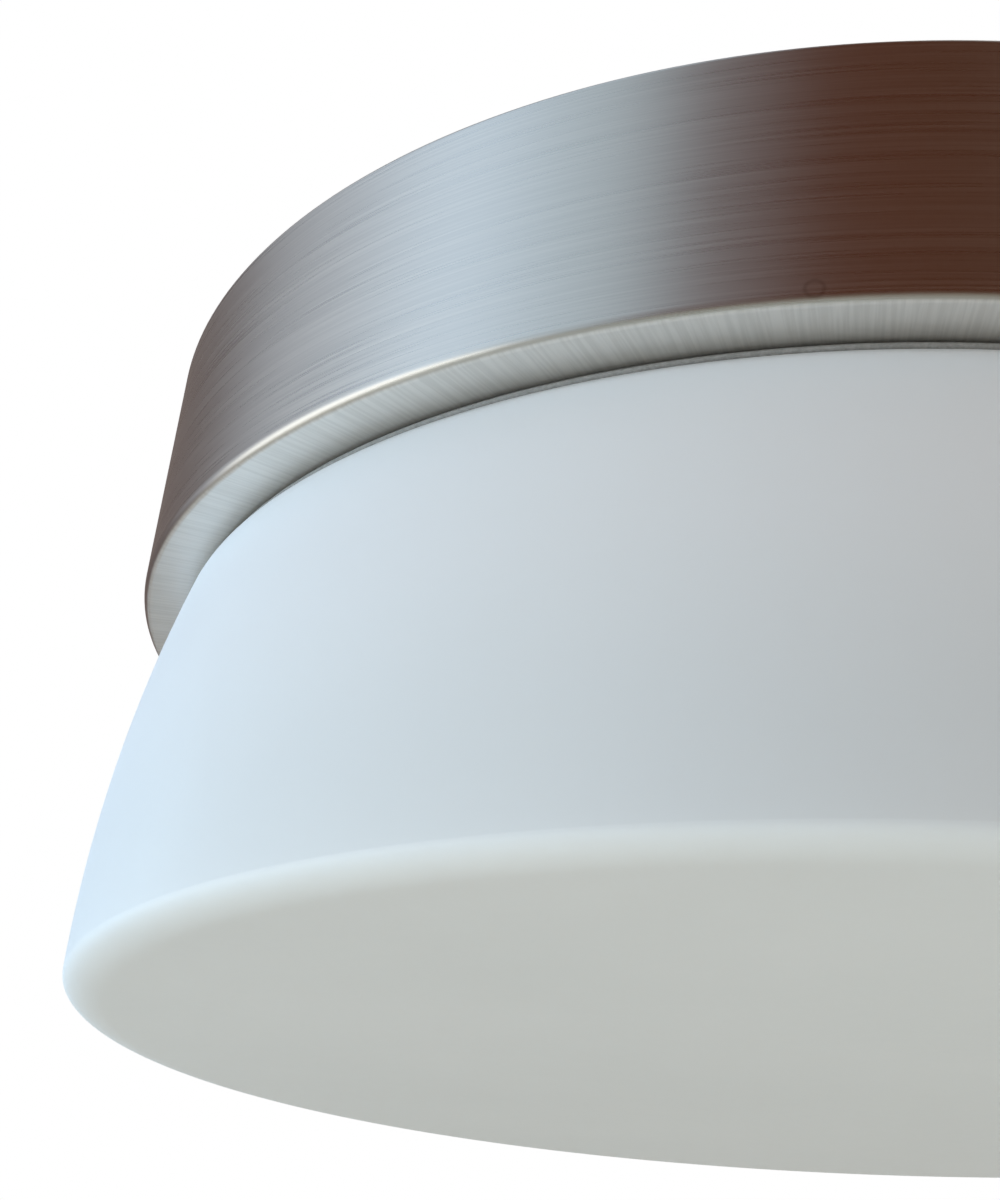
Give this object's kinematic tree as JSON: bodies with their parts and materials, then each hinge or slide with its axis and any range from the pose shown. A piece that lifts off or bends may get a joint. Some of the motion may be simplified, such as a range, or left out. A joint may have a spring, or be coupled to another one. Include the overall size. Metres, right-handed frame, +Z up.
{
  "type": "flush mount ceiling light",
  "caption": "Round flush mount ceiling light: a shallow brushed nickel pan over an etched opal glass shade that twists off to reach the screw-base lamps.",
  "frame": {"origin": "centre of the mounting strap's two box holes, in the plane of the ceiling", "axes": "+Z up into the ceiling along the pan's axis, +X along the mounting strap and the lamps"},
  "size_m": [0.3382, 0.3382, 0.1403],
  "materials": {
    "brushed_nickel": "satin nickel plate, brushed round the pan",
    "opal_glass": "opal glass with an acid-etched satin skin",
    "gasket_foam": "black closed-cell foam",
    "zinc_steel": "bright zinc plate",
    "glass_fibre": "needled glass-fibre felt",
    "white_nylon": "natural nylon",
    "porcelain": "glazed porcelain",
    "nickel_brass": "nickel-plated brass",
    "brass_leaf": "spring brass",
    "lamp_plastic": "white lamp housing",
    "lamp_opal": "opal polycarbonate",
    "lamp_black": "black glass insulator",
    "solder": "tinned contact",
    "led_white": "white solder mask with yellow phosphor chips",
    "wire_black": "black insulated lead",
    "wire_white": "white insulated lead",
    "wire_green": "green insulated lead",
    "green_screw": "green dyed zinc"
  },
  "bodies": {
    "fixture": {"pan": "brushed_nickel", "insulation_pad": "glass_fibre", "mounting_strap": "zinc_steel", "strap_ground_screw": "green_screw", "canopy_screws": "zinc_steel", "wire_bushing": "white_nylon", "keeper_1": "zinc_steel", "keeper_2": "zinc_steel", "keeper_3": "zinc_steel", "bracket_rivets": "zinc_steel", "terminal_block": "white_nylon", "terminal_screw": "zinc_steel", "earth_tag": "brass_leaf", "earth_screw": "green_screw", "lead_earth": "wire_green", "wire_clips": "white_nylon", "socket_body_1": "porcelain", "socket_shell_1": "nickel_brass", "socket_contact_1": "brass_leaf", "socket_screws_1": "zinc_steel", "holder_bracket_1": "zinc_steel", "lead_live_1": "wire_black", "lead_neutral_1": "wire_white", "socket_body_2": "porcelain", "socket_shell_2": "nickel_brass", "socket_contact_2": "brass_leaf", "socket_screws_2": "zinc_steel", "holder_bracket_2": "zinc_steel", "lead_live_2": "wire_black", "lead_neutral_2": "wire_white"},
    "shade": {"diffuser": "opal_glass", "dust_gasket": "gasket_foam"},
    "lamp_1": {"lamp_base_1": "nickel_brass", "lamp_insulator_1": "lamp_black", "lamp_contact_1": "solder", "lamp_housing_1": "lamp_plastic", "led_board_1": "led_white", "lamp_globe_1": "lamp_opal"},
    "lamp_2": {"lamp_base_2": "nickel_brass", "lamp_insulator_2": "lamp_black", "lamp_contact_2": "solder", "lamp_housing_2": "lamp_plastic", "led_board_2": "led_white", "lamp_globe_2": "lamp_opal"}
  },
  "joints": [
    {"name": "shade_twist", "type": "hinge", "parent": "fixture", "child": "shade", "pos_m": [0, 0, 0], "axis": [0, 0, 1], "range_deg": [0, 20]},
    {"name": "lamp_1_turn", "type": "hinge", "parent": "fixture", "child": "lamp_1", "pos_m": [-0.1, 0.037, -0.054], "axis": [1, 0, 0], "range_deg": [0, 1260]},
    {"name": "lamp_2_turn", "type": "hinge", "parent": "fixture", "child": "lamp_2", "pos_m": [0.1, -0.037, -0.054], "axis": [-1, 0, 0], "range_deg": [0, 1260]}
  ]
}
